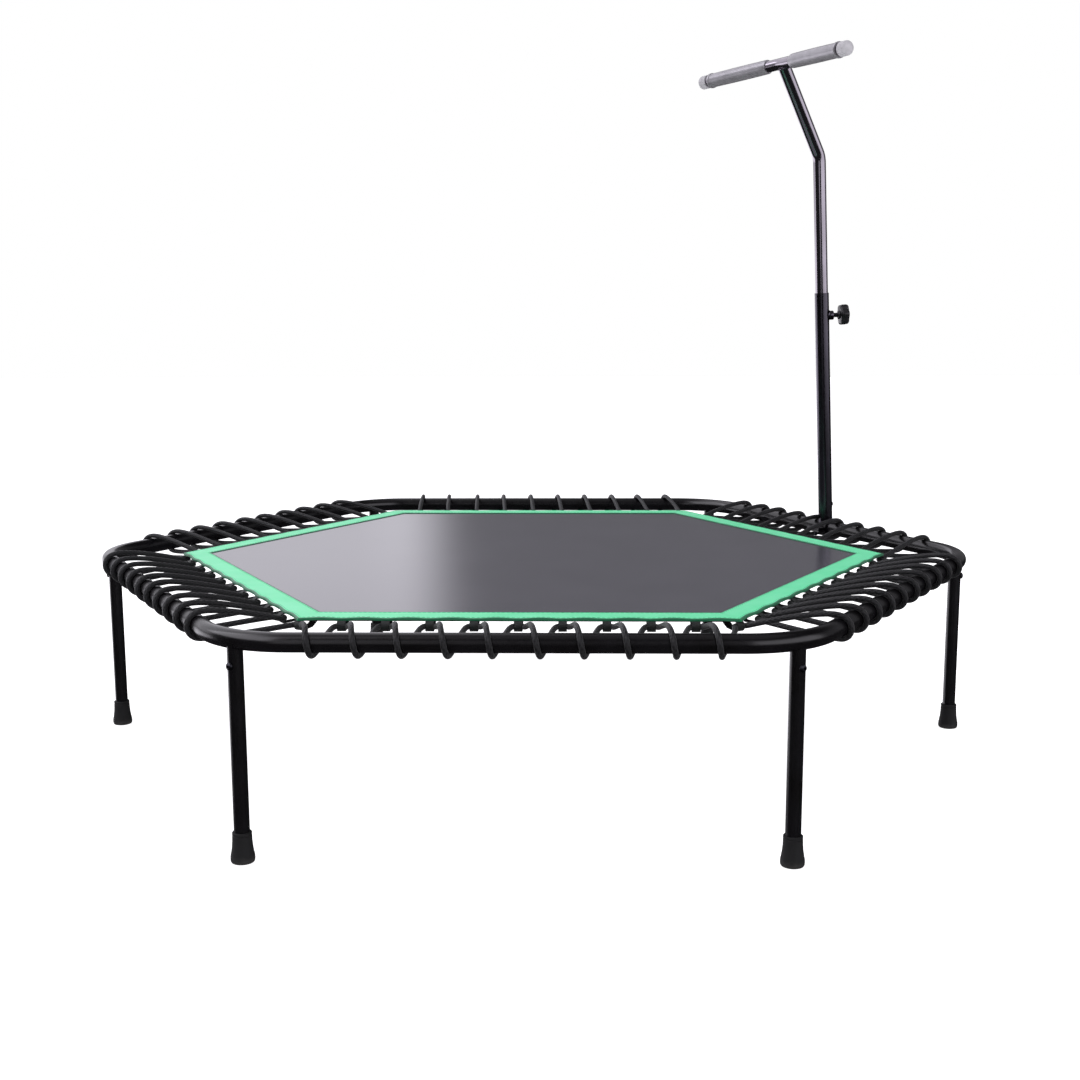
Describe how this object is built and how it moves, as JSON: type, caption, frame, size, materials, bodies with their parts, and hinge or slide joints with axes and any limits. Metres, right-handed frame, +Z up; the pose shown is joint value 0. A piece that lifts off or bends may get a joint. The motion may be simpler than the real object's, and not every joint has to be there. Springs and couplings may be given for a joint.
{
  "type": "mini trampoline",
  "caption": "Hexagonal fitness rebounder: laced mat in a tube frame on legs, with a leaning telescopic mast and T-bar handle.",
  "frame": {"origin": "centre of the hexagon on the floor, between the feet", "axes": "+Z up; +X through a corner of the hexagon, its longest way across; the mast stands on the side between +X and +Y, facing 30 degrees from +X"},
  "size_m": [1.4058, 1.27, 1.1063],
  "materials": {
    "rail_powder_coat": "satin black powder coat",
    "smoked_chrome": "smoked chrome plating, bright",
    "black_chrome": "black chrome plating, satin",
    "blackened_steel": "black-oxide steel",
    "black_rubber": "moulded matt rubber",
    "cord_cover": "braided black cover",
    "woven_mat": "tightly woven polypropylene with a satin sheen",
    "mint_band": "coated mint-green band",
    "black_webbing": "woven webbing",
    "grip_sleeve": "grey vinyl sleeve with a pearl sheen",
    "black_plastic": "moulded nylon",
    "grey_plastic": "moulded polypropylene",
    "pale_nylon": "natural nylon"
  },
  "bodies": {
    "frame": {"rail_section_1": "rail_powder_coat", "rail_section_2": "rail_powder_coat", "rail_section_3": "rail_powder_coat", "rail_section_4": "rail_powder_coat", "rail_section_5": "rail_powder_coat", "rail_section_6": "rail_powder_coat", "leg_tube_1": "rail_powder_coat", "leg_tube_2": "rail_powder_coat", "leg_tube_3": "rail_powder_coat", "leg_tube_4": "rail_powder_coat", "leg_tube_5": "rail_powder_coat", "leg_tube_6": "rail_powder_coat", "leg_bolt_1": "blackened_steel", "leg_bolt_2": "blackened_steel", "leg_bolt_3": "blackened_steel", "leg_bolt_4": "blackened_steel", "leg_bolt_5": "blackened_steel", "leg_bolt_6": "blackened_steel", "foot_cap_1": "black_rubber", "foot_cap_2": "black_rubber", "foot_cap_3": "black_rubber", "foot_cap_4": "black_rubber", "foot_cap_5": "black_rubber", "foot_cap_6": "black_rubber", "bungee_cord_1": "cord_cover", "bungee_cord_2": "cord_cover", "bungee_cord_3": "cord_cover", "bungee_cord_4": "cord_cover", "bungee_cord_5": "cord_cover", "bungee_cord_6": "cord_cover", "mast_saddle_upper": "rail_powder_coat", "mast_saddle_lower": "rail_powder_coat", "saddle_screw_inner": "blackened_steel", "saddle_screw_outer": "blackened_steel", "mast_lower_tube": "black_chrome", "mast_base_bolt": "blackened_steel"},
    "mat": {"jump_mat": "woven_mat", "mat_border": "mint_band", "edge_webbing_1": "black_webbing", "edge_webbing_2": "black_webbing", "edge_webbing_3": "black_webbing", "edge_webbing_4": "black_webbing", "edge_webbing_5": "black_webbing", "edge_webbing_6": "black_webbing"},
    "handle": {"mast_upper_tube": "smoked_chrome", "upper_tube_plug": "black_plastic", "handle_bar": "smoked_chrome", "grip_left": "grip_sleeve", "grip_right": "grip_sleeve", "bar_end_cap_left": "grey_plastic", "bar_end_cap_right": "grey_plastic"},
    "screw_pad": {"clamp_pad": "pale_nylon"},
    "knob": {"lock_knob": "black_plastic", "clamp_screw": "blackened_steel"}
  },
  "joints": [
    {"name": "mat_bounce", "type": "slide", "parent": "frame", "child": "mat", "axis": [0, 0, 1], "range_m": [-0.15, 0.02], "stiffness_N_per_m": 8000, "springref_m": 0.00074, "deforming": ["bungee_cord_1", "bungee_cord_2", "bungee_cord_3", "bungee_cord_4", "bungee_cord_5", "bungee_cord_6"]},
    {"name": "handle_height", "type": "slide", "parent": "frame", "child": "handle", "axis": [-0.0499, -0.0288, 0.9983], "range_m": [-0.08, 0.15]},
    {"name": "pad_press", "type": "slide", "parent": "frame", "child": "screw_pad", "axis": [0.9949, 0.0864, 0.0522], "range_m": [0, 0.0025]},
    {"name": "knob_turn", "type": "hinge", "parent": "screw_pad", "child": "knob", "pos_m": [0.51173, 0.29545, 0.67036], "axis": [0.9949, 0.0864, 0.0522], "range_deg": [0, 720]}
  ],
  "couplings": [
    {"joint": "knob_turn", "follows": "pad_press", "rad_per_m": 5026.5}
  ]
}
